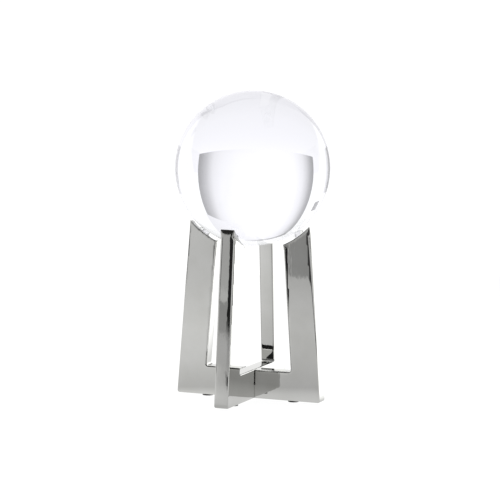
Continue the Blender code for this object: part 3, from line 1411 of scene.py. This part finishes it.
    def floor_in_metal(
        self, tree: bpy.types.NodeTree, across: bpy.types.NodeSocket, away: bpy.types.NodeSocket
    ) -> bpy.types.Node:
        """Radiance of the table in the metal.

        A pale lane runs to the front left, with a dim band of floor on both
        sides of it, and the table is brightest to the back right. Close round
        the stand the table is dim: a painted shadow of the stand.

        Args:
            tree: The table's tree.
            across: Place across.
            away: Place away from the viewer.

        Returns:
            The node that gives the radiance.
        """
        sides = (across, away)
        magnitudes = [add_node(tree, "ShaderNodeMath", (side,), operation="ABSOLUTE") for side in sides]
        squares = [add_node(tree, "ShaderNodeMath", (side, 2.0), operation="POWER") for side in magnitudes]
        total = add_node(tree, "ShaderNodeMath", squares, operation="ADD")
        radius = add_node(tree, "ShaderNodeMath", (total,), operation="SQRT")
        lean = add_node(tree, "ShaderNodeMath", (away, 0.65), operation="MULTIPLY")
        to_right = add_node(tree, "ShaderNodeMath", (across, lean), operation="SUBTRACT")
        right_share = add_node(tree, "ShaderNodeMapRange", (to_right, -0.01, 0.02, 0, 1))
        back_share = add_node(tree, "ShaderNodeMapRange", (away, -0.03, 0.0, 0, 1))
        right = add_node(tree, "ShaderNodeMath", (right_share, back_share), operation="MULTIPLY")
        front = self.front_in_metal(tree, across, away, radius)
        # painted shadow of the stand: the table behind it is dim within 9 cm of it
        behind = read_curve(tree, radius, ((0.0, 0.9), (0.05, 0.95), (0.09, 2.15), (0.2, 2.15)))
        return add_node(tree, "ShaderNodeMix", {0: right, 2: front, 3: behind}, data_type="FLOAT")

    @staticmethod
    def front_in_metal(
        tree: bpy.types.NodeTree, across: bpy.types.NodeSocket, away: bpy.types.NodeSocket,
        radius: bpy.types.Node,
    ) -> bpy.types.Node:
        """Radiance in the metal of the pale lane and of the dim band beside it.

        Args:
            tree: The table's tree.
            across: Place across.
            away: Place away from the viewer.
            radius: Distance from the stand.

        Returns:
            The node that gives the radiance.
        """
        diagonal = math.sqrt(0.5)
        difference = add_node(tree, "ShaderNodeMath", (across, away), operation="SUBTRACT")
        total = add_node(tree, "ShaderNodeMath", (across, away), operation="ADD")
        aside = add_node(tree, "ShaderNodeMath", (difference, diagonal), operation="MULTIPLY")
        along = add_node(tree, "ShaderNodeMath", (total, -diagonal), operation="MULTIPLY")
        # next to the stand the lane carries a painted bright patch right under it, then a painted shadow of
        # the stand
        middle = read_curve(tree, along, (
            (0.0, 1.22), (0.025, 1.1), (0.05, 0.86), (0.1, 0.93), (0.16, 1.02), (0.3, 1.1), (0.42, 1.03),
            (0.55, 0.93), (0.7, 0.88), (0.95, 0.9), (1.1, 0.86), (1.25, 0.72), (1.6, 0.68)))
        falloff = add_node(tree, "ShaderNodeMapRange", (aside, -0.02, 0.03, 1.0, 0.82))
        lane = add_node(tree, "ShaderNodeMath", (middle, falloff), operation="MULTIPLY")
        band_start = add_node(tree, "ShaderNodeMapRange", (radius, 0.59, 0.6, 0, 1))
        band_end = add_node(tree, "ShaderNodeMapRange", (radius, 0.97, 1.0, 1, 0))
        band = add_node(tree, "ShaderNodeMath", (band_start, band_end), operation="MULTIPLY")
        right_side = add_node(tree, "ShaderNodeMapRange", (aside, 0.0375, 0.0395, 0, 1))
        left_side = add_node(tree, "ShaderNodeMapRange", (aside, -0.16, -0.1, 1, 0))
        off_lane = add_node(tree, "ShaderNodeMath", (right_side, left_side), operation="MAXIMUM")
        off_middle = add_node(tree, "ShaderNodeMath", (aside,), operation="ABSOLUTE")
        darkness = add_node(tree, "ShaderNodeMapRange", (off_middle, 0.07, 0.085, 0, 1))
        dim = add_node(tree, "ShaderNodeMix", {0: darkness, 2: 0.43, 3: 0.07}, data_type="FLOAT")
        dim_share = add_node(tree, "ShaderNodeMath", (band, off_lane), operation="MULTIPLY")
        return add_node(tree, "ShaderNodeMix", {0: dim_share, 2: lane, 3: dim}, data_type="FLOAT")

    def light_world(self) -> None:
        """White to the camera; to the metal a bright sky behind and a dark room in front."""
        scene = bpy.context.scene
        scene.view_settings.view_transform = "Standard"
        world = bpy.data.worlds.new("studio_room")
        scene.world = world
        world.use_nodes = True
        tree = world.node_tree
        tree.nodes.clear()
        away = self.studio_place(tree, "Generated").outputs["Y"]
        room = add_node(tree, "ShaderNodeMapRange", (away, 0.02, 0.25, *self.room_in_metal))
        met = {0: self.met_in_crystal(tree), 2: room, 3: self.room_in_crystal}
        reflected = add_node(tree, "ShaderNodeMix", met, data_type="FLOAT")
        camera = add_node(tree, "ShaderNodeLightPath").outputs["Is Camera Ray"]
        seen = {0: camera, 2: reflected, 3: self.room_seen}
        strength = add_node(tree, "ShaderNodeMix", seen, data_type="FLOAT")
        sky = add_node(tree, "ShaderNodeBackground", {"Color": (1, 1, 1, 1), "Strength": strength})
        add_node(tree, "ShaderNodeOutputWorld", {"Surface": sky})

    def place_camera(self) -> None:
        """Stand the camera at its azimuth and elevation and roll it slightly."""
        back = self.axes() @ Vector((0, -math.cos(self.elevation), math.sin(self.elevation)))
        across = self.axes() @ Vector((1, 0, 0))
        aim = Vector((0, 0, self.aim_height)) + across * self.aim_across
        data = bpy.data.cameras.new("studio_camera")
        data.lens = self.lens
        data.clip_start, data.clip_end = self.clip
        camera = bpy.data.objects.new("studio_camera", data)
        bpy.context.scene.collection.objects.link(camera)
        camera.rotation_mode = "QUATERNION"
        look = (-back).to_track_quat("-Z", "Y")
        camera.rotation_quaternion = look @ Matrix.Rotation(self.roll, 3, "Z").to_quaternion()
        camera.location = aim + back * self.distance
        bpy.context.scene.camera = camera


def main() -> None:
    """Build the pieces in the order that they go together, then the studio."""
    logging.basicConfig(level=logging.INFO, format="%(message)s")
    nickel = PolishedNickel().material()
    screw = CentreScrew()
    hole = screw.hole()
    lower = CrossPlate(
        "lower_cross_plate", "lower_nickel_plate", Run.LEFT_TO_RIGHT, Slot.ABOVE,
        rim_left=0.4 * MM, rim_right=1.5 * MM,
    )
    upper = CrossPlate(
        "upper_cross_plate", "upper_nickel_plate", Run.FRONT_TO_BACK, Slot.BELOW,
        rim_left=1.8 * MM, rim_right=0.7 * MM,
    )
    lower.build(hole, nickel)
    upper.build(hole, nickel)
    bpy.data.objects.remove(hole)
    screw.build()
    FootPads().build()
    BallBumpers(lower).build()
    CrystalBall().build()
    Studio().build()


if __name__ == "__main__":
    main()
